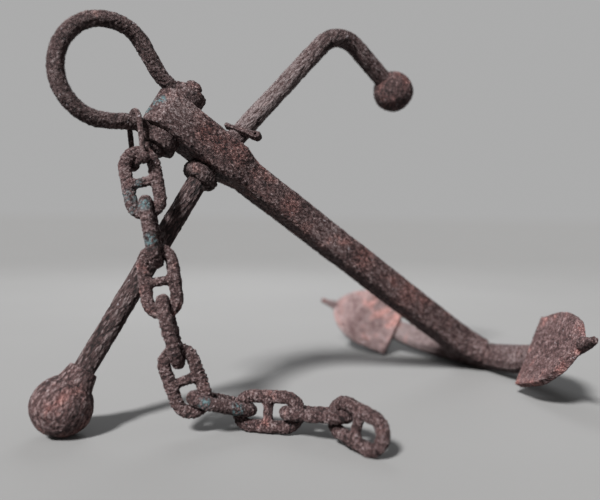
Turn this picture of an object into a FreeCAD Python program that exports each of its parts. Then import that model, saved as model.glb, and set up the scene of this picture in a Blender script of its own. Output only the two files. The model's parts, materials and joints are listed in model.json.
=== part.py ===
import FreeCAD, Part
import math
import os

from FreeCAD import Matrix, Placement, Rotation, Vector

# Stocked anchor with a bow shackle and a short stud-link chain, resting on the floor.
# The anchor is modelled in its own frame and then tipped onto its lower ball, its crown and the
# lower corner of its far palm:
#   +X runs along the shank from the head to the crown
#   +Z runs along the stock, from the lower ball to the bent end
#   +Y and -Y are the two arms
# The chain is modelled in the finished frame: +Z up, floor at z = 0.
# All sizes are in millimetres and all angles in degrees.

# Shank
SHANK_WIDTH = 33.0
SHANK_HEIGHT_HEAD = 30.5
SHANK_HEIGHT_CROWN = 34.0
SHANK_FOOT_X = 440.0
FOOT_FLARE_X = 398.0
FOOT_WIDTH = 60.0
SHANK_CHAMFER = 3.0
HEAD_WIDTH = 42.0
HEAD_HEIGHT = 39.0
HEAD_END_RADIUS = 25.0
HEAD_SHOULDER_X = 22.0
HEAD_SHOULDER_RUN = 22.0
BOLT_X = -54.0

# Stock
BAR_RADIUS = 10.0
STOCK_LEAN = 10.9
STOCK_SIDE_LEAN = 1.8
KINK_Z = -28.0
LOWER_BALL_Z = -285.0
LOWER_BALL_RADIUS = 27.5
UPPER_RUN = 241.0
BEND_RADIUS = 36.0
BEND_ANGLE = 84.5
BENT_RUN = 103.5
UPPER_BALL_RADIUS = 23.5
SOCKET_DEPTH = 18.0
COLLAR_RADIUS = 18.5
COLLAR_HEIGHT = 15.0

# Stock key, a flat tapered blade with a lug, in an open notch across the near side of the bar
KEY_WIDTH = 7.0
KEY_BITE = 4.5
KEY_TAIL = 13.0
KEY_TAIL_HEIGHT = 3.6
KEY_NECK = 21.0
KEY_NECK_HEIGHT = 4.4
KEY_NOSE = 34.0
KEY_LUG = (-3.2, 4.6)
KEY_TURN = 30.0
KEY_HEIGHT = 30.5
KEY_HOLE_RADIUS = 2.0

# Arms and palms
ARM_RADIUS = 250.0
ARM_SWEEP = 28.8
ARM_CENTRE_X = 208.0
CROWN_SECTION = (34.0, 32.0)
PALM_ROOT_SECTION = (20.0, 29.0)
BILL_SECTION = (6.5, 7.0)
PALM_LENGTH = 105.0
PALM_START = 5.0
PALM_HALF_WIDTH = 44.0
PALM_THICKNESS = 9.0
BILL_LENGTH = 27.0
BILL_DRIFT = 13.0
ARM_CHAMFER = 0.25

# Bow shackle
BOW_BAR_RADIUS = 7.5
BOW_TURN = 4.0
BOW_SAG = 3.6
BOW_LENGTH = 122.5
BOW_SHAPE = ((27.0, 25.8), (50.0, 37.5), (75.0, 46.5), (109.5, 32.6))
BOW_RINGS = 20
EYE_RADIUS = 18.0
EYE_THICKNESS = 14.0
EYE_GAP = 0.3
BOLT_RADIUS = 8.0
BOLT_HEAD_RADIUS = 11.0
BOLT_HEAD_HEIGHT = 7.0
BOLT_TAIL = 10.0

# Connecting shackle
CONNECTOR_WIRE = 2.75
CONNECTOR_REACH = 29.8
CONNECTOR_ARC = 12.6
CONNECTOR_DROP = 39.0
CONNECTOR_SWING = -14.2
CONNECTOR_EYE = 5.5
CONNECTOR_EYE_HALF = 3.0
CONNECTOR_GAP = 0.5
PIN_RADIUS = 3.0
PIN_HEAD_RADIUS = 4.8

# Chain
WIRE = 11.3
LINK_LENGTH = 70.0
LINK_WIDTH = 38.6
STUD_RADIUS = 4.0
STUD_END_RADIUS = 7.0
CHAIN_GAP = 0.12
FIRST_LINK_TILT = 5.6
FIRST_LINK_YAW = 31.8
# how each further link hangs in the one before it: bend in that link's plane, then swing out of it
LINK_BENDS = (
    (-0.9, -1.0),
    (2.6, 2.4),
    (-6.1, 1.0),
    (-1.7, 5.5),
    (54.1, 28.0),
    (-47.9, -14.5),
    (0.6, 12.7),
    (18.9, -18.0),
)

# Running clearance between a pin and its hole, on the radius
CLEARANCE = 0.06
SPLIT_PIN_RADIUS = 1.6

ORIGIN = Vector(0, 0, 0)
X_AXIS = Vector(1, 0, 0)
Y_AXIS = Vector(0, 1, 0)
Z_AXIS = Vector(0, 0, 1)

stock_turn = Rotation(X_AXIS, STOCK_SIDE_LEAN).multiply(Rotation(Y_AXIS, STOCK_LEAN))
stock_dir = stock_turn.multVec(Z_AXIS)
bent_dir = stock_turn.multiply(Rotation(Y_AXIS, BEND_ANGLE)).multVec(Z_AXIS)
kink = Vector(0, 0, KINK_Z)
eye_centre = kink + stock_dir * (-KINK_Z / stock_dir.z)


def rod(start, direction, length, radius):
    return Part.makeCylinder(radius, length, start, direction)


def fused(shapes):
    """One clean solid from overlapping pieces."""
    return shapes[0].multiFuse(shapes[1:]).removeSplitter()


def octagon(centre, thick_axis, high_axis, thickness, height, chamfer):
    """Rectangle with its four corners cut off, as a closed wire."""
    a, b, c = thickness / 2, height / 2, chamfer
    upper = ((a, b - c), (a - c, b), (c - a, b), (-a, b - c))
    corners = upper + tuple((-t, -h) for t, h in upper)
    points = [centre + thick_axis * t + high_axis * h for t, h in corners]
    return Part.makePolygon(points + [points[0]])


# ---------------------------------------------------------------- shank and arms


def make_shank():
    """Thick head with a rounded end, a sloping shoulder and a bar that deepens towards the crown."""
    middle_width = 0.4 * HEAD_WIDTH + 0.6 * SHANK_WIDTH
    middle_height = 0.4 * HEAD_HEIGHT + 0.6 * SHANK_HEIGHT_HEAD
    stations = (
        (BOLT_X - HEAD_END_RADIUS, HEAD_WIDTH, HEAD_HEIGHT),
        (HEAD_SHOULDER_X, HEAD_WIDTH, HEAD_HEIGHT),
        (HEAD_SHOULDER_X + 0.5 * HEAD_SHOULDER_RUN, middle_width, middle_height),
        (HEAD_SHOULDER_X + HEAD_SHOULDER_RUN, SHANK_WIDTH, SHANK_HEIGHT_HEAD),
        (FOOT_FLARE_X, SHANK_WIDTH, SHANK_HEIGHT_CROWN),
        (0.5 * (FOOT_FLARE_X + SHANK_FOOT_X), 0.8 * SHANK_WIDTH + 0.2 * FOOT_WIDTH, SHANK_HEIGHT_CROWN),
        (SHANK_FOOT_X, FOOT_WIDTH, 0.95 * SHANK_HEIGHT_CROWN),
    )
    sections = [octagon(Vector(x, 0, 0), Y_AXIS, Z_AXIS, w, h, SHANK_CHAMFER) for x, w, h in stations]
    shank = Part.makeLoft(sections, True, True)
    round_end = rod(Vector(BOLT_X, 0, -HEAD_HEIGHT), Z_AXIS, 2 * HEAD_HEIGHT, HEAD_END_RADIUS)
    behind_bolt = Part.makeBox(1000, 200, 200, Vector(BOLT_X, -100, -100))
    shank = shank.common(round_end.fuse(behind_bolt)).removeSplitter()
    bolt_hole = rod(Vector(BOLT_X, 0, -50), Z_AXIS, 100, BOLT_RADIUS + CLEARANCE)
    stock_eye = rod(eye_centre - stock_dir * 50, stock_dir, 100, BAR_RADIUS + CLEARANCE)
    return shank.cut(bolt_hole).cut(stock_eye)


def arm_frame(distance, side):
    """Centre point, outward tangent and outer normal of an arm at a distance from the crown."""
    arc_length = ARM_RADIUS * math.radians(ARM_SWEEP)
    angle = math.radians(ARM_SWEEP) * min(distance / arc_length, 1.0)
    straight = max(distance - arc_length, 0.0)
    tangent = Vector(-math.sin(angle), side * math.cos(angle), 0)
    normal = Vector(math.cos(angle), side * math.sin(angle), 0)
    drift = BILL_DRIFT * straight / (PALM_LENGTH + BILL_LENGTH)
    centre = Vector(ARM_CENTRE_X, 0, 0) + normal * (ARM_RADIUS - drift) + tangent * straight
    return centre, tangent, normal


def arm_section(distance, side, thickness, height):
    """Chamfered rectangle across an arm."""
    centre, _, normal = arm_frame(distance, side)
    return octagon(centre, normal, Z_AXIS, thickness, height, ARM_CHAMFER * min(thickness, height))


def arm_sections(side):
    """Sections from the crown out to the bill."""
    arc_length = ARM_RADIUS * math.radians(ARM_SWEEP)
    palm_start = arc_length + PALM_START
    bill_end = palm_start + PALM_LENGTH + BILL_LENGTH
    crown, root, bill = CROWN_SECTION, PALM_ROOT_SECTION, BILL_SECTION
    stations = (
        (0.0, crown[0], crown[1]),
        (0.22 * arc_length, 0.92 * crown[0], 0.96 * crown[1]),
        (0.55 * arc_length, 1.3 * root[0], 1.16 * root[1]),
        (arc_length, root[0], root[1]),
        (palm_start + 0.55 * PALM_LENGTH, 0.9 * root[0], 0.8 * root[1]),
        (palm_start + 0.95 * PALM_LENGTH, 0.8 * root[0], 0.6 * root[1]),
        (bill_end, bill[0], bill[1]),
    )
    return [arm_section(d, side, t, h) for d, t, h in stations]


def make_arms(shank, palms):
    wires = list(reversed(arm_sections(-1))) + arm_sections(1)[1:]
    arms = Part.makeLoft(wires, True, False)
    for palm in palms:
        arms = arms.cut(palm)
    return arms.cut(shank)


def palm_seat(side):
    """Middle of the palm's inner edge on its back face, with the arm's directions there."""
    centre, tangent, normal = arm_frame(ARM_RADIUS * math.radians(ARM_SWEEP), side)
    return centre + tangent * PALM_START - normal * (PALM_ROOT_SECTION[0] / 2 - 1.0), tangent, normal


def make_palm(side):
    """Spade-shaped plate with its front face towards the head."""
    length, half = PALM_LENGTH, PALM_HALF_WIDTH
    shoulder, tip = 0.42 * length, 0.17 * half
    flank = ((shoulder, half), (0.72 * length, 0.81 * half), (0.90 * length, 0.51 * half), (length, tip))
    edges = [
        Part.makeLine(Vector(0, -half, 0), Vector(0, half, 0)),
        Part.makeLine(Vector(length, tip, 0), Vector(length, -tip, 0)),
    ]
    for sign in (-1, 1):
        curve = Part.BSplineCurve()
        curve.interpolate([Vector(x, sign * y, 0) for x, y in flank])
        edges.append(curve.toShape())
        edges.append(Part.makeLine(Vector(0, sign * half, 0), Vector(shoulder, sign * half, 0)))
    plate = Part.Face(Part.Wire(Part.sortEdges(edges)[0])).extrude(Vector(0, 0, PALM_THICKNESS))
    seat, tangent, normal = palm_seat(side)
    across = Z_AXIS * -side
    m = Matrix()
    m.A11, m.A21, m.A31 = tangent
    m.A12, m.A22, m.A32 = across
    m.A13, m.A23, m.A33 = -normal
    m.A14, m.A24, m.A34 = seat
    return moved(plate, m)


def moved(shape, matrix):
    out = shape.copy()
    out.Placement = Placement(matrix)
    return out


# ---------------------------------------------------------------- stock


def stock_path():
    """Corner of the bend and the upper ball's centre."""
    corner = kink + stock_dir * UPPER_RUN
    return corner, corner + bent_dir * BENT_RUN


def make_stock_bar(key_slot):
    corner, upper_ball = stock_path()
    lower_end = LOWER_BALL_Z + LOWER_BALL_RADIUS - SOCKET_DEPTH
    lower = rod(Vector(0, 0, lower_end), Z_AXIS, KINK_Z - lower_end, BAR_RADIUS)
    knee = Part.makeSphere(BAR_RADIUS, kink)
    bend_reach = BEND_RADIUS * math.tan(math.radians(BEND_ANGLE / 2))
    upper = rod(kink, stock_dir, UPPER_RUN - bend_reach, BAR_RADIUS)
    bend_start = corner - stock_dir * bend_reach
    bend_centre = bend_start + stock_turn.multVec(X_AXIS) * BEND_RADIUS
    profile = Part.Face(Part.Wire(Part.makeCircle(BAR_RADIUS, bend_start, stock_dir)))
    bend = profile.revolve(bend_centre, stock_turn.multVec(Y_AXIS), BEND_ANGLE)
    bent_length = BENT_RUN - bend_reach - UPPER_BALL_RADIUS + SOCKET_DEPTH
    bent = rod(corner + bent_dir * bend_reach, bent_dir, bent_length, BAR_RADIUS)
    return fused([lower, knee, upper, bend, bent]).cut(key_slot)


def make_collar(bar):
    """Fat rounded ring round the bar, against the near face of the head."""
    gap = 0.3
    tilt_loss = COLLAR_RADIUS * math.sin(math.radians(STOCK_LEAN))
    top = kink + stock_dir * (((-HEAD_HEIGHT / 2 - gap) - KINK_Z - 0.8 * tilt_loss) / stock_dir.z)
    ring = rod(top - stock_dir * COLLAR_HEIGHT, stock_dir, COLLAR_HEIGHT, COLLAR_RADIUS)
    ring = ring.makeFillet(6.5, [e for e in ring.Edges if e.Curve.TypeId == "Part::GeomCircle"])
    return ring.cut(bar)


def make_ball_lower(bar):
    centre = Vector(0, 0, LOWER_BALL_Z)
    ball = Part.makeSphere(LOWER_BALL_RADIUS, centre)
    neck = Part.makeCone(17.0, 13.5, 17.0, centre + Z_AXIS * 20.0, Z_AXIS)
    return ball.fuse(neck).removeSplitter().cut(bar)


def make_ball_upper(bar):
    return Part.makeSphere(UPPER_BALL_RADIUS, stock_path()[1]).cut(bar)


def key_axis():
    """Direction in which the key draws out: towards its wide end."""
    return Rotation(stock_dir, KEY_TURN).multVec(-Y_AXIS)


def key_frame():
    """Key frame: x towards the lug, y across the blade away from the notch's mouth, z up the stock."""
    matrix = Matrix()
    along, up = key_axis(), stock_dir
    across = up.cross(along)
    centre = eye_centre + stock_dir * KEY_HEIGHT - across * (BAR_RADIUS - KEY_BITE + KEY_WIDTH / 2)
    matrix.A11, matrix.A21, matrix.A31 = along
    matrix.A12, matrix.A22, matrix.A32 = across
    matrix.A13, matrix.A23, matrix.A33 = up
    matrix.A14, matrix.A24, matrix.A34 = centre
    return matrix


def make_key():
    tail, neck = KEY_TAIL_HEIGHT / 2, KEY_NECK_HEIGHT / 2
    low, high = KEY_LUG
    corners = (
        (-KEY_TAIL, -tail),
        (KEY_NECK, -neck),
        (KEY_NECK + 4, low),
        (KEY_NOSE - 2, low),
        (KEY_NOSE, low + 2),
        (KEY_NOSE, high - 2),
        (KEY_NOSE - 2, high),
        (KEY_NECK + 4, high - 1),
        (KEY_NECK, neck),
        (-KEY_TAIL, tail),
    )
    points = [Vector(x, -KEY_WIDTH / 2, z) for x, z in corners]
    blade = Part.Face(Part.makePolygon(points + [points[0]])).extrude(Y_AXIS * KEY_WIDTH)
    hole = rod(Vector(KEY_NOSE - 5.5, -10, 0.7), Y_AXIS, 20, KEY_HOLE_RADIUS)
    return moved(blade.cut(hole), key_frame())


def make_key_slot():
    """Notch across the bar, as tall as the key where it leaves the bar on its lug side."""
    share = (BAR_RADIUS + KEY_TAIL) / (KEY_NECK + KEY_TAIL)
    height = KEY_TAIL_HEIGHT + (KEY_NECK_HEIGHT - KEY_TAIL_HEIGHT) * share + 2 * CLEARANCE
    corner = Vector(-30, KEY_WIDTH / 2 + CLEARANCE - 30, -height / 2)
    return moved(Part.makeBox(60, 30, height, corner), key_frame())


# ---------------------------------------------------------------- bow shackle


def bow_matrix():
    """Bow frame: x along the bow's length away from the bolt, y down the bolt, z across the bow."""
    turn = math.radians(BOW_TURN)
    along = Vector(-math.cos(turn), -math.sin(turn), 0)
    across = along.cross(-Z_AXIS)
    matrix = Matrix()
    matrix.A11, matrix.A21, matrix.A31 = along
    matrix.A12, matrix.A22, matrix.A32 = -Z_AXIS
    matrix.A13, matrix.A23, matrix.A33 = across
    matrix.A14, matrix.A24, matrix.A34 = Vector(BOLT_X, 0, 0)
    return matrix


def eye_offset():
    return HEAD_HEIGHT / 2 + EYE_GAP + EYE_THICKNESS / 2


def bow_curve():
    """Centre line of the bow in its own frame: pear-shaped, hanging a little to one side."""
    half = ((8.0, eye_offset()),) + BOW_SHAPE
    points = [(x, y) for x, y in half] + [(BOW_LENGTH, 0.0)] + [(x, -y) for x, y in reversed(half)]
    curve = Part.BSplineCurve()
    curve.interpolate([Vector(x, y + BOW_SAG * min(max((x - 27) / 23, 0), 1), 0) for x, y in points])
    return curve


def make_bow():
    curve = bow_curve()
    low, high = curve.FirstParameter, curve.LastParameter
    rings = []
    for i in range(BOW_RINGS + 1):
        u = low + (high - low) * i / BOW_RINGS
        rings.append(Part.Wire(Part.makeCircle(BOW_BAR_RADIUS, curve.value(u), curve.tangent(u)[0])))
    bow = Part.makeLoft(rings, True, False)
    for side in (-1, 1):
        base = Vector(0, side * eye_offset() - EYE_THICKNESS / 2, 0)
        bow = bow.fuse(rod(base, Y_AXIS, EYE_THICKNESS, EYE_RADIUS))
    inside = 2 * (HEAD_HEIGHT / 2 + EYE_GAP)
    gap = Part.makeBox(60, inside, 60, Vector(-30, -inside / 2, -30))
    bow = bow.cut(gap).cut(rod(Vector(0, -60, 0), Y_AXIS, 120, BOLT_RADIUS))
    return moved(bow.removeSplitter(), bow_matrix())


def bolt_tail_end():
    return eye_offset() + EYE_THICKNESS / 2 + BOLT_TAIL


def make_bolt(split_pin):
    """Round-headed bolt: its head is on the lower eye and its drilled tail above the upper eye."""
    bottom = -eye_offset() - EYE_THICKNESS / 2
    shank = rod(Vector(BOLT_X, 0, bottom), Z_AXIS, bolt_tail_end() - bottom, BOLT_RADIUS)
    shank = shank.makeChamfer(1.5, [shank.Edges[0]])
    head = rod(Vector(BOLT_X, 0, bottom - BOLT_HEAD_HEIGHT), Z_AXIS, BOLT_HEAD_HEIGHT, BOLT_HEAD_RADIUS)
    low_rim = [e for e in head.Edges if e.BoundBox.ZLength < 0.01 and e.BoundBox.ZMax < bottom - 1]
    head = head.makeFillet(3.5, low_rim)
    return shank.fuse(head).removeSplitter().cut(split_pin)


def make_split_pin(centre, direction, ring_axis, radius, half_length):
    """Straight pin through a shaft, with a ring at one end."""
    pin = rod(centre - direction * half_length, direction, 2 * half_length, radius)
    ring_radius = 2.6 * radius
    ring_wire = 0.75 * radius
    ring_centre = centre + direction * (half_length + ring_radius - 0.3 * radius)
    ring = Part.makeTorus(ring_radius, ring_wire, ring_centre, ring_axis)
    return pin.fuse(ring).removeSplitter()


# ---------------------------------------------------------------- resting pose of the anchor


def crown_low_point():
    """Lowest corner of the crown's section when the anchor lies on its ball and crown."""
    thickness, height = CROWN_SECTION
    chamfer = ARM_CHAMFER * min(thickness, height)
    return Vector(ARM_CENTRE_X + ARM_RADIUS + thickness / 2 - chamfer, 0, -height / 2)


def rest_rotation():
    """Turn that puts the lower ball, the crown and the far palm's lower corner on one level."""
    crown = crown_low_point()
    palm = palm_seat(1)[0] - Z_AXIS * PALM_HALF_WIDTH
    ball = Vector(0, 0, LOWER_BALL_Z)
    edge = (palm - crown).normalize()
    lean = ball - crown
    lean = lean - edge * lean.dot(edge)
    angle = math.acos(LOWER_BALL_RADIUS / lean.Length)
    lean.normalize()
    level = lean * math.cos(angle) + lean.cross(edge) * math.sin(angle)
    if level.z < 0:
        level = lean * math.cos(angle) - lean.cross(edge) * math.sin(angle)
    return Rotation(X_AXIS, ORIGIN, level, "ZXY").inverted()


# ---------------------------------------------------------------- connecting shackle and chain


def bow_point(distance):
    """Point and direction on the near leg of the bow, that far along the bow from the bolt."""
    curve = bow_curve()
    low, high = curve.FirstParameter, 0.4 * curve.LastParameter
    for _ in range(40):
        middle = (low + high) / 2
        if curve.value(middle).x < distance:
            low = middle
        else:
            high = middle
    return curve.value(low), curve.tangent(low)[0]


def connector_frame(placement):
    """Connector frame in the finished frame: x level along the bow's leg, z up, centred on the leg."""
    local = Placement(bow_matrix())
    point, tangent = bow_point(CONNECTOR_REACH)
    centre = placement.multVec(local.multVec(point))
    along = placement.Rotation.multVec(local.Rotation.multVec(-tangent))
    along = Vector(along.x, along.y, 0).normalize()
    up = Rotation(along, CONNECTOR_SWING).multVec(Z_AXIS)
    matrix = Matrix()
    matrix.A11, matrix.A21, matrix.A31 = along
    matrix.A12, matrix.A22, matrix.A32 = up.cross(along)
    matrix.A13, matrix.A23, matrix.A33 = up
    matrix.A14, matrix.A24, matrix.A34 = centre
    return matrix


def connector_top():
    """Height of the connector's arc centre above the middle of the leg it hangs on."""
    return BOW_BAR_RADIUS + CONNECTOR_WIRE + CONNECTOR_GAP - CONNECTOR_ARC


def make_connector_bow():
    top = connector_top()
    start = Vector(0, CONNECTOR_ARC, top)
    circle = Part.Face(Part.Wire(Part.makeCircle(CONNECTOR_WIRE, start, Z_AXIS)))
    pieces = [circle.revolve(Vector(0, 0, top), X_AXIS, 180)]
    for side in (-1, 1):
        foot = Vector(0, side * CONNECTOR_ARC, -CONNECTOR_DROP)
        pieces.append(rod(foot, Z_AXIS, CONNECTOR_DROP + top, CONNECTOR_WIRE))
        pieces.append(rod(foot - Y_AXIS * CONNECTOR_EYE_HALF, Y_AXIS, 2 * CONNECTOR_EYE_HALF, CONNECTOR_EYE))
    hole = rod(Vector(0, -30, -CONNECTOR_DROP), Y_AXIS, 60, PIN_RADIUS)
    return fused(pieces).cut(hole)


def make_connector_pin(cotter):
    """Headed pin through the connector's two eyes: its head is on the -y side."""
    reach = CONNECTOR_ARC + CONNECTOR_EYE_HALF
    pin = rod(Vector(0, -reach, -CONNECTOR_DROP), Y_AXIS, 2 * reach + 5, PIN_RADIUS)
    head = Part.makeSphere(PIN_HEAD_RADIUS, Vector(0, -reach, -CONNECTOR_DROP))
    outside = Part.makeBox(20, 10, 20, Vector(-10, -reach - 10, -CONNECTOR_DROP - 10))
    return pin.fuse(head.common(outside)).removeSplitter().cut(cotter)


def make_connector_cotter():
    centre = Vector(0, CONNECTOR_ARC + CONNECTOR_EYE_HALF + 2.5, -CONNECTOR_DROP)
    return make_split_pin(centre, Z_AXIS, Y_AXIS, 0.8, 4.6)


def link_arc():
    """Offset of a link's end arcs from its middle, and their radius to the wire's centre."""
    return LINK_LENGTH / 2 - LINK_WIDTH / 2, LINK_WIDTH / 2 - WIRE / 2


def make_link():
    """Stud-link chain link in its own frame: x along it, y across it."""
    offset, radius = link_arc()
    pieces = []
    for side in (-1, 1):
        pieces.append(rod(Vector(-offset, side * radius, 0), X_AXIS, 2 * offset, WIRE / 2))
        start = Vector(side * offset, -side * radius, 0)
        disc = Part.Face(Part.Wire(Part.makeCircle(WIRE / 2, start, X_AXIS)))
        pieces.append(disc.revolve(Vector(side * offset, 0, 0), Z_AXIS, 180))
    return fused(pieces)


def make_stud(link):
    """Stud across the link's middle, swelling where it is pinched by the two sides."""
    reach = LINK_WIDTH / 2 - WIRE / 2
    middle = rod(Vector(0, -reach, 0), Y_AXIS, 2 * reach, STUD_RADIUS)
    ends = [
        Part.makeCone(STUD_RADIUS, STUD_END_RADIUS, 6.0, Vector(0, side * (reach - 8.5), 0), Y_AXIS * side)
        for side in (-1, 1)
    ]
    inside = Part.makeBox(40, 2 * reach, 2 * WIRE, Vector(-20, -reach, -WIRE))
    return fused([middle] + ends).common(inside).cut(link)


def axis_matrix(along, across, centre):
    normal = along.cross(across)
    matrix = Matrix()
    matrix.A11, matrix.A21, matrix.A31 = along
    matrix.A12, matrix.A22, matrix.A32 = across
    matrix.A13, matrix.A23, matrix.A33 = normal
    matrix.A14, matrix.A24, matrix.A34 = centre
    return matrix


def chain_places(connector):
    """For each link: its matrix, and the point and axis it turns about in the piece before it."""
    frame = Placement(connector)
    pin_centre = frame.multVec(Vector(0, 0, -CONNECTOR_DROP))
    pin_axis = frame.Rotation.multVec(-Y_AXIS)
    down = frame.Rotation.multVec(-Z_AXIS)
    along = Rotation(pin_axis, FIRST_LINK_TILT).multVec(down)
    normal = Rotation(along, FIRST_LINK_YAW).multVec(pin_axis)
    across = normal.cross(along)
    end_wire = pin_centre - along * (PIN_RADIUS + WIRE / 2 + CHAIN_GAP)
    centre = end_wire + along * (LINK_LENGTH / 2 - WIRE / 2)
    places = [(axis_matrix(along, across, centre), pin_centre, pin_axis)]
    offset, radius = link_arc()
    for bend, swing in LINK_BENDS:
        turn = Rotation(normal, bend)
        pull = turn.multVec(along)
        pivot_axis = turn.multVec(across)
        pivot = centre + along * offset + pull * radius
        tip = Rotation(pivot_axis, swing)
        along = tip.multVec(pull)
        across = tip.multVec(pivot_axis.cross(pull))
        normal = along.cross(across)
        end_wire = pivot - along * (WIRE + CHAIN_GAP)
        centre = end_wire + along * (LINK_LENGTH / 2 - WIRE / 2)
        places.append((axis_matrix(along, across, centre), pivot, pivot_axis))
    return places


# ---------------------------------------------------------------- assembly


def build_anchor():
    palms = {"palm_near": make_palm(-1), "palm_far": make_palm(1)}
    shank = make_shank()
    bar = make_stock_bar(make_key_slot())
    split_centre = Vector(BOLT_X, 0, bolt_tail_end() - 5.5)
    split_pin = make_split_pin(split_centre, Y_AXIS, Z_AXIS, SPLIT_PIN_RADIUS, 12.0)
    nodes = {
        "shank": shank,
        "arms": make_arms(shank, palms.values()),
        "stock_bar": bar,
        "stock_collar": make_collar(bar),
        "stock_key": make_key(),
        "ball_lower": make_ball_lower(bar),
        "ball_upper": make_ball_upper(bar),
        "shackle_bow": make_bow(),
        "shackle_bolt": make_bolt(split_pin),
        "shackle_split_pin": split_pin,
    }
    nodes.update(palms)
    return nodes


def build_chain(placement):
    connector = connector_frame(placement)
    cotter = make_connector_cotter()
    nodes = {
        "connector_bow": moved(make_connector_bow(), connector),
        "connector_pin": moved(make_connector_pin(cotter), connector),
        "connector_cotter": moved(cotter, connector),
    }
    link = make_link()
    stud = make_stud(link)
    for number, (matrix, _, _) in enumerate(chain_places(connector), 1):
        nodes[f"link_{number}"] = moved(link, matrix)
        nodes[f"stud_{number}"] = moved(stud, matrix)
    return nodes


def main():
    os.makedirs("parts", exist_ok=True)
    tipped = Placement(ORIGIN, rest_rotation())
    ball_bottom = tipped.multVec(Vector(0, 0, LOWER_BALL_Z)).z - LOWER_BALL_RADIUS
    tipped.Base = Vector(0, 0, -ball_bottom)
    nodes = {}
    for name, shape in build_anchor().items():
        nodes[name] = shape.copy()
        nodes[name].Placement = tipped.multiply(shape.Placement)
    nodes.update(build_chain(tipped))
    box = Part.makeCompound(list(nodes.values())).optimalBoundingBox(True, False)
    shift = Placement(Vector(-box.Center.x, -box.Center.y, -box.ZMin), Rotation())
    for name, shape in sorted(nodes.items()):
        shape.Placement = shift.multiply(shape.Placement)
        shape.exportStep(f"parts/{name}.step")


main()
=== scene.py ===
import json
import math

import bmesh
import bpy
import numpy as np
from mathutils import Matrix, Vector, noise
from mathutils.bvhtree import BVHTree


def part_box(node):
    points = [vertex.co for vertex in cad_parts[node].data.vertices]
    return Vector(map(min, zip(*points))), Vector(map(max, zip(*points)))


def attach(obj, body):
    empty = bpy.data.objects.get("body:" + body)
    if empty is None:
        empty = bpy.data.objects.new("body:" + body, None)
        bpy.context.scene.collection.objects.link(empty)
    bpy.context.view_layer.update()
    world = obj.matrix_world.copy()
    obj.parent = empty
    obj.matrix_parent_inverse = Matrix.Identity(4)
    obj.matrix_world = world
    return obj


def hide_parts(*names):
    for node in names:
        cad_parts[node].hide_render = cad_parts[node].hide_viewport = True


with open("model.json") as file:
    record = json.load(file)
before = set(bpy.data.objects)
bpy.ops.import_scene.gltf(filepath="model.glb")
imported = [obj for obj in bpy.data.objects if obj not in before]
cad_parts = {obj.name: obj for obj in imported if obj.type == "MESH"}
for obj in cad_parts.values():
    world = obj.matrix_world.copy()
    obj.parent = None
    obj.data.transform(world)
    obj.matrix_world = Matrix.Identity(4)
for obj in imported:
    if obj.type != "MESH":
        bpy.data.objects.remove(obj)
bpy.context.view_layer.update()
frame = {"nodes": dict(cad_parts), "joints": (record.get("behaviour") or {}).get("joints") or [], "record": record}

# A rusted boat anchor. Every iron piece is a finely remeshed copy of its CAD solid, pushed in and
# out by seeded noise: scale, pits and forging lumps. Lengths in the relief settings are in mm.

MM = 0.001
NODES = frame["nodes"]
RECORD = frame["record"]
LINKS = range(1, 10)

NOISE_SEED = 1
noise.seed_set(NOISE_SEED)


def joint(name):
    return next(j for j in frame["joints"] if j["name"] == name)


def middle(node):
    low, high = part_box(node)
    return (low + high) / 2


def long_axis(node):
    """Direction in which a CAD node is longest."""
    co = np.array([v.co for v in NODES[node].data.vertices], float)
    co -= co.mean(0)
    return Vector(np.linalg.svd(co, full_matrices=False)[2][0])


# ---------------------------------------------------------------- geometry


def merged_copy(name, nodes):
    """One object holding copies of the given CAD meshes, with their split corners welded."""
    bm = bmesh.new()
    for node in nodes:
        bm.from_mesh(NODES[node].data)
    bmesh.ops.remove_doubles(bm, verts=bm.verts, dist=1e-6)
    mesh = bpy.data.meshes.new(name)
    bm.to_mesh(mesh)
    bm.free()
    obj = bpy.data.objects.new(name, mesh)
    bpy.context.scene.collection.objects.link(obj)
    return obj


def remeshed(obj, voxel, smoothing):
    """Even mesh of the object's outside, with its edges softened."""
    remesh = obj.modifiers.new("remesh", "REMESH")
    remesh.mode = "VOXEL"
    remesh.voxel_size = voxel * MM
    smooth = obj.modifiers.new("smooth", "SMOOTH")
    smooth.factor = 0.5
    smooth.iterations = smoothing
    bpy.context.view_layer.update()
    mesh = bpy.data.meshes.new_from_object(obj.evaluated_get(bpy.context.evaluated_depsgraph_get()))
    obj.modifiers.clear()
    old = obj.data
    obj.data = mesh
    bpy.data.meshes.remove(old)
    mesh.name = obj.name


def step(low, high, value):
    t = min(max((value - low) / (high - low), 0.0), 1.0)
    return t * t * (3 - 2 * t)


def rust_relief(p, look):
    """Slow swell of the forging and quick relief of the rust at a point in mm, both in mm."""
    swell = noise.noise(p / 31.0) * look["big"] + noise.noise(p / 11.0) * look["lump"]
    bent = p + noise.noise_vector(p / 3.0) * 1.3
    gaps, corners = noise.voronoi(bent / look["plate_size"])
    plate = step(0.0, 0.24, gaps[1] - gaps[0]) * (0.55 + 0.9 * noise.cell(corners[0] * 7.3))
    crack = math.exp(-((noise.noise(p / 7.0 + Vector((5, 9, 2))) / 0.06) ** 2))
    fine = noise.fractal(p / 2.3, 0.9, 2.1, 3)
    return swell, look["fine"] * fine + look["plate"] * plate - look["crack"] * crack


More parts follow.
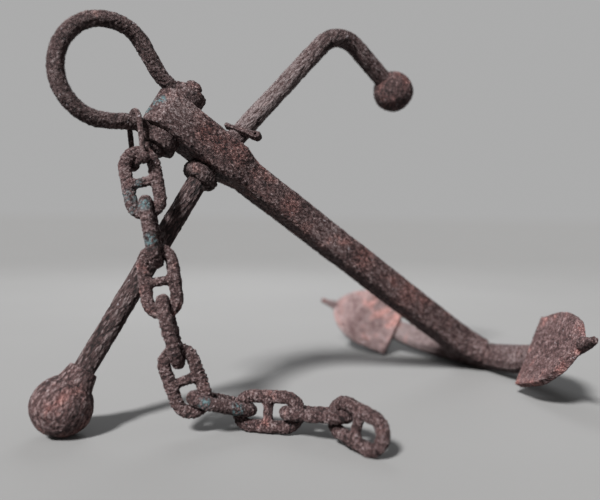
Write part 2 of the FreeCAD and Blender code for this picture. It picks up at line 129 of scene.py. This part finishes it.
def along_grain(points, path, stretch):
    """Points in mm, drawn together along a path of straight runs, so that noise follows the grain."""
    result = points.copy()
    nearest = np.full(len(points), np.inf)
    shift = np.zeros(3)
    squeeze = 1 - 1 / stretch
    for start, end in zip(path, path[1:]):
        start, end = np.array(start) / MM, np.array(end) / MM
        length = np.linalg.norm(end - start)
        way = (end - start) / length
        reach = (points - start) @ way
        gap = np.linalg.norm(points - start - np.outer(np.clip(reach, 0, length), way), axis=1)
        closer = gap < nearest
        nearest[closer] = gap[closer]
        result[closer] = (points - np.outer(reach * squeeze, way) + shift)[closer]
        shift = shift - way * length * squeeze
    return result


def link_wrinkles(points, k):
    """Ring-shaped wrinkles across a link's wire, at points in mm, as heights in mm."""
    pitch, height = WRINKLES[k]
    way, side = link_ways(k)
    local = points - np.array(middle(f"link_{k}")) / MM
    along, across = local @ np.array(way), local @ np.array(side)
    turn = np.arctan2(np.maximum(np.abs(along) - LINK_STRAIGHT, 0), np.abs(across))
    wire = (np.minimum(np.abs(along), LINK_STRAIGHT) + LINK_ARC * turn) * np.sign(along)
    rough = np.array([(noise.noise(Vector(p) / 6.0), noise.noise(Vector(p) / 13.0)) for p in points])
    return height * (0.55 + 1.6 * rough[:, 1]) * np.sin(wire / pitch * 2 * math.pi + 4.0 * rough[:, 0])


def roughened(obj, look, seed, path=None, stretch=1.0, wrinkled=None):
    """Pushes every vertex along its normal by the rust's relief, and keeps the relief for the shader."""
    mesh = obj.data
    count = len(mesh.vertices)
    co = np.empty(count * 3, np.float32)
    normal = np.empty(count * 3, np.float32)
    mesh.vertices.foreach_get("co", co)
    mesh.vertices.foreach_get("normal", normal)
    co, normal = co.reshape(-1, 3).astype(float), normal.reshape(-1, 3)
    points = co / MM
    if path is not None:
        points = along_grain(points, path, stretch)
    shift = Vector((seed * 37.1, seed * 11.7, seed * 53.3))
    relief = np.array([rust_relief(Vector(p) + shift, look) for p in points])
    swell, quick = relief[:, 0], relief[:, 1]
    quick = quick - np.median(quick)
    if wrinkled is not None:
        quick = quick + link_wrinkles(co / MM, wrinkled)
    co = co + normal * ((swell + quick + look["grow"]) * MM)[:, None]
    co[:, 2] = np.maximum(co[:, 2], 0.0)
    mesh.vertices.foreach_set("co", co.astype(np.float32).ravel())
    low, high = np.percentile(quick, 4), np.percentile(quick, 96)
    level = np.clip((quick - low) / (high - low), 0, 1)
    mesh.attributes.new("relief", "FLOAT", "POINT").data.foreach_set("value", level.astype(np.float32))
    grain = (points * MM).astype(np.float32)
    mesh.attributes.new("grain", "FLOAT_VECTOR", "POINT").data.foreach_set("vector", grain.ravel())
    mesh.polygons.foreach_set("use_smooth", [True] * len(mesh.polygons))
    mesh.update()


LINK_STRAIGHT, LINK_ARC = 15.7, 13.6
WRINKLES = {1: (5.5, 0.25), 2: (6.5, 0.18), 4: (6.0, 0.32), 5: (4.2, 0.34), 6: (5.0, 0.2)}

LOOKS = {
    "bar": dict(big=0.5, lump=0.3, plate=0.35, plate_size=2.8, crack=0.3, fine=0.3, grow=0.0),
    "stock": dict(big=0.4, lump=0.3, plate=0.4, plate_size=2.6, crack=0.55, fine=0.25, grow=0.1),
    "ball": dict(big=0.9, lump=0.7, plate=0.25, plate_size=3.2, crack=0.4, fine=0.2, grow=0.3),
    "chain": dict(big=0.3, lump=0.5, plate=0.5, plate_size=2.8, crack=0.45, fine=0.3, grow=0.3),
    "shackle": dict(big=0.4, lump=0.4, plate=0.4, plate_size=2.8, crack=0.4, fine=0.3, grow=0.1),
    "lumpy": dict(big=1.2, lump=1.5, plate=0.5, plate_size=3.0, crack=0.5, fine=0.35, grow=0.2),
    "palm": dict(big=0.6, lump=0.6, plate=0.3, plate_size=3.4, crack=0.4, fine=0.35, grow=0.0),
    "small": dict(big=0.1, lump=0.2, plate=0.2, plate_size=2.4, crack=0.12, fine=0.15, grow=0.1),
    "thin": dict(big=0.0, lump=0.1, plate=0.15, plate_size=2.4, crack=0.1, fine=0.12, grow=-0.15),
}


# ---------------------------------------------------------------- materials


class Shader:
    """Short calls for building one material's node tree."""

    def __init__(self, name, grain=True):
        self.material = bpy.data.materials.new(name)
        self.material.use_nodes = True
        self.tree = self.material.node_tree
        self.tree.nodes.clear()
        self.spot = self.tree.nodes.new("ShaderNodeTexCoord").outputs["Object"]
        self.place = self.attribute("grain").outputs["Vector"] if grain else self.spot

    def node(self, kind, **settings):
        node = self.tree.nodes.new(kind)
        for key, value in settings.items():
            setattr(node, key, value)
        return node

    def attribute(self, name):
        return self.node("ShaderNodeAttribute", attribute_name=name)

    def link(self, value, socket):
        if isinstance(value, bpy.types.NodeSocket):
            self.tree.links.new(value, socket)
        else:
            socket.default_value = value

    def noise(self, scale, detail=4.0, roughness=0.6, distortion=0.0):
        node = self.node("ShaderNodeTexNoise")
        self.link(self.place, node.inputs["Vector"])
        node.inputs["Scale"].default_value = scale
        node.inputs["Detail"].default_value = detail
        node.inputs["Roughness"].default_value = roughness
        node.inputs["Distortion"].default_value = distortion
        return node.outputs["Fac"]

    def warped(self, scale, amount):
        """The grain's coordinates, bent by noise so that cells lose their straight sides."""
        bend = self.node("ShaderNodeTexNoise")
        self.link(self.place, bend.inputs["Vector"])
        bend.inputs["Scale"].default_value = scale
        node = self.node("ShaderNodeVectorMath", operation="MULTIPLY_ADD")
        self.link(bend.outputs["Color"], node.inputs[0])
        node.inputs[1].default_value = (amount, amount, amount)
        self.link(self.place, node.inputs[2])
        return node.outputs["Vector"]

    def cells(self, place, scale, feature, output):
        node = self.node("ShaderNodeTexVoronoi", feature=feature)
        self.link(place, node.inputs["Vector"])
        node.inputs["Scale"].default_value = scale
        return node.outputs[output]

    def ramp(self, value, stops):
        node = self.node("ShaderNodeValToRGB")
        self.link(value, node.inputs["Fac"])
        elements = node.color_ramp.elements
        while len(elements) < len(stops):
            elements.new(0.5)
        for element, (position, colour) in zip(elements, stops):
            element.position = position
            element.color = (*colour, 1)
        return node.outputs["Color"]

    def math(self, operation, a, b=0.0):
        node = self.node("ShaderNodeMath", operation=operation)
        self.link(a, node.inputs[0])
        self.link(b, node.inputs[1])
        return node.outputs[0]

    def weighted(self, constant, *terms):
        """constant + sum of weight * (value - 0.5)."""
        total = constant
        for value, weight in terms:
            total = self.math("ADD", self.math("MULTIPLY", self.math("SUBTRACT", value, 0.5), weight), total)
        return total

    def band(self, value, low, high):
        """0 under low, 1 over high."""
        node = self.node("ShaderNodeMapRange", clamp=True, interpolation_type="SMOOTHSTEP")
        self.link(value, node.inputs["Value"])
        node.inputs["From Min"].default_value = low
        node.inputs["From Max"].default_value = high
        return node.outputs["Result"]

    def mix(self, factor, a, b, blend="MIX"):
        node = self.node("ShaderNodeMix", data_type="RGBA", blend_type=blend)
        self.link(factor, node.inputs["Factor"])
        for value, socket in ((a, node.inputs[6]), (b, node.inputs[7])):
            self.link(value if isinstance(value, bpy.types.NodeSocket) else (*value, 1), socket)
        return node.outputs[2]

    def near(self, point, radius):
        """1 close to a point in the row frame, fading to 0 at the radius."""
        node = self.node("ShaderNodeVectorMath", operation="DISTANCE")
        self.link(self.spot, node.inputs[0])
        node.inputs[1].default_value = point
        return self.band(node.outputs["Value"], radius, 0.3 * radius)


DARK = (0.017, 0.010, 0.011)
UMBER = (0.054, 0.027, 0.027)
ROSE = (0.158, 0.084, 0.082)
# Pale grey of proud scale, also used as painted highlight on the raised relief.
ASH_AND_HIGHLIGHT = (0.46, 0.37, 0.37)
WARM = (1.62, 1.06, 0.94)
PATINA = (0.17, 0.34, 0.37)
SPECK = (0.62, 0.56, 0.60)


def rust(name, light, contrast, orange, orange_spots=(), patina_spots=(), tone_and_light_spots=()):
    """Old rust in small plates: dark in the cracks and low spots, partly darker oxide and partly painted shade; rose
    brown on the scale; ash grey where proud, partly paler scale and partly painted highlight.
    """
    s = Shader(name)
    fine, grit = s.noise(900, 3, 0.6), s.noise(480, 5, 0.66, 0.5)
    cloud, drift = s.noise(62, 4, 0.6), s.noise(15, 3, 0.5)
    bent = s.warped(560, 0.0014)
    plate = s.cells(bent, 430, "F1", "Color")
    gap = s.cells(bent, 430, "DISTANCE_TO_EDGE", "Distance")
    crack = s.band(gap, 0.0, 0.09)
    relief = s.attribute("relief").outputs["Fac"]
    # Raised relief turns paler and low relief darker: partly the rust's own colour, partly painted highlight on the
    # bumps and painted shade in the pits.
    quick = s.weighted(0.0, (relief, 0.42), (grit, 1.35), (plate, 0.26))
    level = s.math("MULTIPLY", quick, contrast)
    level = s.math("ADD", level, s.weighted(0.5, (cloud, 0.4), (drift, 0.35)))
    # Spots that lighten or darken the tone around a point; several of them are painted light and painted shade.
    for point, radius, amount in tone_and_light_spots:
        level = s.math("ADD", level, s.math("MULTIPLY", s.near(point, radius), amount))
    # Darker along the cracks between plates: partly darker oxide, partly painted shade in the cracks.
    level = s.math("MULTIPLY", level, s.math("ADD", s.math("MULTIPLY", crack, 0.45), 0.55))
    # The light factor scales this copy's tones: partly the part's own tone, partly painted light and shade.
    tones = [tuple(light * c for c in colour) for colour in (DARK, UMBER, ROSE, ASH_AND_HIGHLIGHT)]
    colour = s.ramp(level, list(zip((0.10, 0.30, 0.48, 0.86), tones)))
    warm = s.band(s.weighted(0.5, (cloud, 1.0), (grit, 0.5), (drift, 0.8)), 0.72 - 0.4 * orange, 0.98 - 0.4 * orange)
    for point, radius in orange_spots:
        spot = s.math("MULTIPLY", s.near(point, radius), s.band(grit, 0.38, 0.6))
        warm = s.math("MAXIMUM", warm, spot)
    colour = s.mix(s.math("MULTIPLY", warm, 0.8), colour, WARM, "MULTIPLY")
    flecks = s.noise(260, 4, 0.6)
    green = s.band(s.weighted(0.5, (flecks, 0.7), (cloud, 0.6), (drift, 0.4)), 0.80, 0.85)
    for point, radius in patina_spots:
        spot = s.math("MULTIPLY", s.near(point, radius), s.band(flecks, 0.46, 0.54))
        green = s.math("MAXIMUM", green, spot)
    green = s.math("MULTIPLY", green, s.band(level, 0.15, 0.4))
    colour = s.mix(s.math("MULTIPLY", green, 0.75), colour, PATINA)
    speck = s.band(s.noise(330, 1, 0.4), 0.76, 0.79)
    colour = s.mix(s.math("MULTIPLY", speck, 0.8), colour, SPECK)
    shader = s.node("ShaderNodeBsdfPrincipled")
    s.link(colour, shader.inputs["Base Color"])
    s.link(s.weighted(0.62, (fine, -0.5), (grit, -0.4)), shader.inputs["Roughness"])
    shader.inputs["Metallic"].default_value = 0.1
    shader.inputs["Specular IOR Level"].default_value = 0.55
    bump = s.node("ShaderNodeBump")
    bump.inputs["Strength"].default_value = 1.0
    bump.inputs["Distance"].default_value = 1.8 * contrast * MM
    height = s.weighted(0.5, (grit, 1.3), (fine, 0.2), (plate, 0.15), (crack, 0.2))
    s.link(height, bump.inputs["Height"])
    s.link(bump.outputs["Normal"], shader.inputs["Normal"])
    output = s.node("ShaderNodeOutputMaterial")
    s.link(shader.outputs[0], output.inputs["Surface"])
    return s.material


# ---------------------------------------------------------------- pieces

CAMERA_RIGHT = Vector((0.8529, -0.5219, 0.0108))
CAMERA_UP = Vector((0.0183, 0.0504, 0.9986))
CAMERA_BACK = Vector((-0.5217, -0.8515, 0.0525))


def facing(vector, side):
    """The vector or its opposite, whichever points to the given side."""
    return vector if vector.dot(side) > 0 else -vector


bolt = Vector(joint("shackle_swing")["pos_m"])
eye = Vector(joint("stock_turn")["pos_m"])
shank_way = facing(long_axis("shank"), Vector((1, 0, 0)))
lower_ball, upper_ball = middle("ball_lower"), middle("ball_upper")
stock_way = facing(Vector(joint("stock_turn")["axis"]), Vector((0, 0, 1)))
bent_way = (upper_ball - eye) - stock_way * (upper_ball - eye).dot(stock_way)
stock_path = [lower_ball, eye, upper_ball - bent_way, upper_ball]
shank_path = [bolt, bolt + shank_way]


def link_ways(k):
    """Long and cross direction of a link; the long one points down the chain."""
    co = np.array([v.co for v in NODES[f"link_{k}"].data.vertices], float)
    ways = np.linalg.svd(co - co.mean(0), full_matrices=False)[2]
    return facing(Vector(ways[0]), Vector((0.3, 0, -1))), facing(Vector(ways[1]), CAMERA_RIGHT)


def on_link(k, along, across):
    """Point on a link, in mm along and across it from its middle."""
    way, side = link_ways(k)
    return middle(f"link_{k}") + way * along * MM + side * across * MM


def off(point, right, up, back):
    """Point moved to the camera's right, up and towards the camera, in mm."""
    return point + (CAMERA_RIGHT * right + CAMERA_UP * up + CAMERA_BACK * back) * MM


head_patina = [(off(bolt, -18, 12, 13), 0.011), (off(bolt, -8, 15, 19), 0.008), (off(bolt, -21, 5, 12), 0.008)]
head_orange = [
    (off(bolt, 33, -14, 3), 0.017),
    (off(bolt, 46, -24, -6), 0.015),
    (off(bolt, 64, -31, -16), 0.020),
    (off(bolt, 115, -81, -56), 0.018),
    (off(bolt, 200, -138, -112), 0.022),
    (off(bolt, 260, -180, -146), 0.025),
]
far_arm = (middle("palm_far") + middle("arms")) / 2
# Paler spots on the head, shank, arms and palms; the ones on the far arm and far palm are painted light where those
# parts lie in shade.
shank_tone_and_light_spots = [
    (off(bolt, 10, 4, 14), 0.03, 0.2),
    (off(bolt, 160, -116, -85), 0.035, 0.12),
    (far_arm, 0.12, 0.22),
    (middle("palm_far"), 0.13, 0.2),
    (middle("palm_near") + Vector((0.01, 0.09, 0)), 0.07, 0.1),
]
# Painted highlight: a paler patch on the upper stock.
stock_painted_highlight = [(off(bolt, 100, 40, -46), 0.085, 0.30)]
# Painted shade: the upper ball made darker, as the shade of the stock.
upper_ball_painted_shade = [(upper_ball, 0.06, -0.12)]
# Painted light: the far palm made paler.
far_palm_painted_light = [(middle("palm_far"), 0.15, 0.16)]
palm_orange = [(off(middle("palm_near"), 5, -28, 20), 0.022), (off(middle("palm_near"), 35, 5, 0), 0.02)]
chain_patina = [
    (on_link(1, 11, -13), 0.011),
    (on_link(1, 1, -3), 0.008),
    (on_link(1, 24, -12), 0.009),
    (on_link(2, -23, 16), 0.009),
    (on_link(2, 11, 17), 0.010),
    (on_link(6, -26, 16), 0.009),
    (on_link(6, 7, 18), 0.010),
]

# Each material is a copy of the same rust; the second number sets its brightness, partly each part's own tone and
# partly painted light and shade, so some parts come out darker and others paler.
MATERIALS = {
    "anchor_iron": rust("anchor_iron", 0.86, 1.15, 0.42, head_orange, head_patina, shank_tone_and_light_spots),
    "palm_iron": rust("palm_iron", 1.35, 0.8, 0.6, palm_orange, (), far_palm_painted_light),
    "stock_iron": rust("stock_iron", 0.62, 1.2, 0.22, (), (), stock_painted_highlight),
    "ball_iron": rust("ball_iron", 0.95, 1.0, 0.6, (), (), upper_ball_painted_shade),
    "key_iron": rust("key_iron", 0.6, 0.9, 0.25),
    "shackle_iron": rust("shackle_iron", 0.72, 1.1, 0.25),
    "pin_iron": rust("pin_iron", 1.0, 0.9, 0.2),
    "connector_iron": rust("connector_iron", 0.85, 1.0, 0.25),
    "chain_iron": rust("chain_iron", 0.95, 1.15, 0.4, (), chain_patina),
}


def piece(name, body, nodes, slot, look, voxel, smoothing, seed, path=None, stretch=1.0, wrinkled=None):
    obj = merged_copy(name, nodes)
    remeshed(obj, voxel, smoothing)
    roughened(obj, LOOKS[look], seed, path, stretch, wrinkled)
    obj.data.materials.clear()
    obj.data.materials.append(MATERIALS[slot])
    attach(obj, body)
    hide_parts(*nodes)
    return obj


piece("rusted_shank", "anchor", ["shank"], "anchor_iron", "bar", 1.0, 1, 1, shank_path, 1.5)
piece("rusted_arms", "anchor", ["arms"], "anchor_iron", "bar", 1.2, 2, 2)
piece("rusted_palm_near", "anchor", ["palm_near"], "palm_iron", "palm", 1.1, 1, 3)
piece("rusted_palm_far", "anchor", ["palm_far"], "palm_iron", "palm", 1.4, 2, 4)
piece("rusted_stock_bar", "stock", ["stock_bar"], "stock_iron", "stock", 0.9, 1, 5, stock_path, 3.2)
piece("rusted_stock_collar", "stock", ["stock_collar"], "stock_iron", "lumpy", 0.9, 3, 6)
piece("rusted_lower_ball", "stock", ["ball_lower"], "ball_iron", "ball", 1.0, 3, 7, stock_path, 2.6)
piece("rusted_upper_ball", "stock", ["ball_upper"], "ball_iron", "ball", 1.1, 3, 8)
piece("rusted_key", "key", ["stock_key"], "key_iron", "small", 0.5, 2, 9)
piece("rusted_bow", "shackle", ["shackle_bow"], "shackle_iron", "shackle", 0.9, 3, 10)
piece("rusted_bolt", "shackle", ["shackle_bolt"], "shackle_iron", "lumpy", 0.8, 3, 11)
piece("rusted_split_pin", "shackle", ["shackle_split_pin"], "pin_iron", "small", 0.4, 1, 12)
piece("rusted_connector_bow", "connector", ["connector_bow"], "connector_iron", "thin", 0.5, 3, 13)
piece("rusted_connector_pin", "connector", ["connector_pin"], "connector_iron", "small", 0.5, 3, 14)
piece("rusted_connector_cotter", "connector", ["connector_cotter"], "pin_iron", "small", 0.25, 1, 15)
for k in LINKS:
    link_path = [on_link(k, -60, 0), on_link(k, 60, 0)]
    link_nodes = [f"link_{k}", f"stud_{k}"]
    wrinkled = k if k in WRINKLES else None
    piece(f"rusted_link_{k}", f"link_{k}", link_nodes, "chain_iron", "chain", 0.8, 4, 20 + k, link_path, 0.75, wrinkled)


# ---------------------------------------------------------------- floor, light and camera


FLOOR_ALBEDO = 0.34
FLOOR_RADIANCE = 0.41
BOUNCE = 0.35


def make_floor():
    """Plain floor, wide enough that its edge is lost against the even backdrop."""
    s = Shader("floor_grey", grain=False)
    diffuse = s.node("ShaderNodeBsdfDiffuse")
    tone = s.weighted(FLOOR_ALBEDO, (s.noise(2.5, 3, 0.5), 0.03), (s.noise(900, 2, 0.5), 0.02))
    seen = s.node("ShaderNodeLightPath").outputs["Is Camera Ray"]
    dimmed = s.math("MULTIPLY", tone, s.math("ADD", s.math("MULTIPLY", seen, 1 - BOUNCE), BOUNCE))
    s.link(dimmed, diffuse.inputs["Color"])
    output = s.node("ShaderNodeOutputMaterial")
    s.link(diffuse.outputs[0], output.inputs["Surface"])
    sides, radius = 96, 60.0
    verts = [(0, 0, 0)]
    for i in range(sides):
        angle = 2 * math.pi * i / sides
        verts.append((radius * math.cos(angle), radius * math.sin(angle), 0))
    faces = [(0, 1 + i, 1 + (i + 1) % sides) for i in range(sides)]
    mesh = bpy.data.meshes.new("floor")
    mesh.from_pydata(verts, [], faces)
    floor = bpy.data.objects.new("floor", mesh)
    bpy.context.scene.collection.objects.link(floor)
    mesh.materials.append(s.material)


def make_world(ambient):
    """Soft light from all round; the camera sees a backdrop as bright as the floor."""
    world = bpy.data.worlds.new("world")
    world.use_nodes = True
    tree = world.node_tree
    light = tree.nodes["Background"]
    light.inputs["Color"].default_value = (1, 1, 1, 1)
    light.inputs["Strength"].default_value = ambient
    backdrop = tree.nodes.new("ShaderNodeBackground")
    backdrop.inputs["Color"].default_value = (FLOOR_RADIANCE, FLOOR_RADIANCE, FLOOR_RADIANCE, 1)
    seen = tree.nodes.new("ShaderNodeLightPath")
    chosen = tree.nodes.new("ShaderNodeMixShader")
    tree.links.new(seen.outputs["Is Camera Ray"], chosen.inputs["Fac"])
    tree.links.new(light.outputs[0], chosen.inputs[1])
    tree.links.new(backdrop.outputs[0], chosen.inputs[2])
    tree.links.new(chosen.outputs[0], tree.nodes["World Output"].inputs["Surface"])
    bpy.context.scene.world = world


make_floor()
make_world(0.17)

CAMERA_PLACE = Vector((-0.38621, -0.61837, 0.20250))


def lamp(name, kind, left, towards, up, distance, size, power, colour):
    """Lamp that shines on the anchor from the camera's left, from its side and from above."""
    flat_right = Vector((CAMERA_RIGHT.x, CAMERA_RIGHT.y, 0)).normalized()
    flat_back = Vector((CAMERA_BACK.x, CAMERA_BACK.y, 0)).normalized()
    way = (flat_back * towards - flat_right * left + Vector((0, 0, up))).normalized()
    data = bpy.data.lights.new(name, kind)
    data.energy = power
    data.color = colour
    if kind == "SUN":
        data.angle = size
    else:
        data.shape = "DISK"
        data.size = size
    obj = bpy.data.objects.new(name, data)
    bpy.context.scene.collection.objects.link(obj)
    obj.location = Vector((0, 0, 0.15)) + way * distance
    obj.rotation_euler = (-way).to_track_quat("-Z", "Y").to_euler()


lamp("key", "SUN", 0.5, 0.9, 0.95, 2.0, math.radians(10), 4.6, (1, 0.99, 0.98))
lamp("rim", "AREA", 0.2, -1.0, 0.9, 1.6, 1.0, 6, (0.97, 0.98, 1))

bpy.context.scene.view_settings.view_transform = "Standard"

focus = bpy.data.objects.new("focus", None)
focus.location = bolt
bpy.context.scene.collection.objects.link(focus)
camera_data = bpy.data.cameras.new("camera")
camera_data.lens = 39
camera_data.sensor_width = 36
camera_data.clip_start = 0.02
camera_data.dof.use_dof = True
camera_data.dof.focus_object = focus
camera_data.dof.aperture_fstop = 2.8
camera = bpy.data.objects.new("camera", camera_data)
bpy.context.scene.collection.objects.link(camera)
camera.matrix_world = Matrix((
    (CAMERA_RIGHT.x, CAMERA_UP.x, CAMERA_BACK.x, CAMERA_PLACE.x),
    (CAMERA_RIGHT.y, CAMERA_UP.y, CAMERA_BACK.y, CAMERA_PLACE.y),
    (CAMERA_RIGHT.z, CAMERA_UP.z, CAMERA_BACK.z, CAMERA_PLACE.z),
    (0, 0, 0, 1),
))
bpy.context.scene.camera = camera
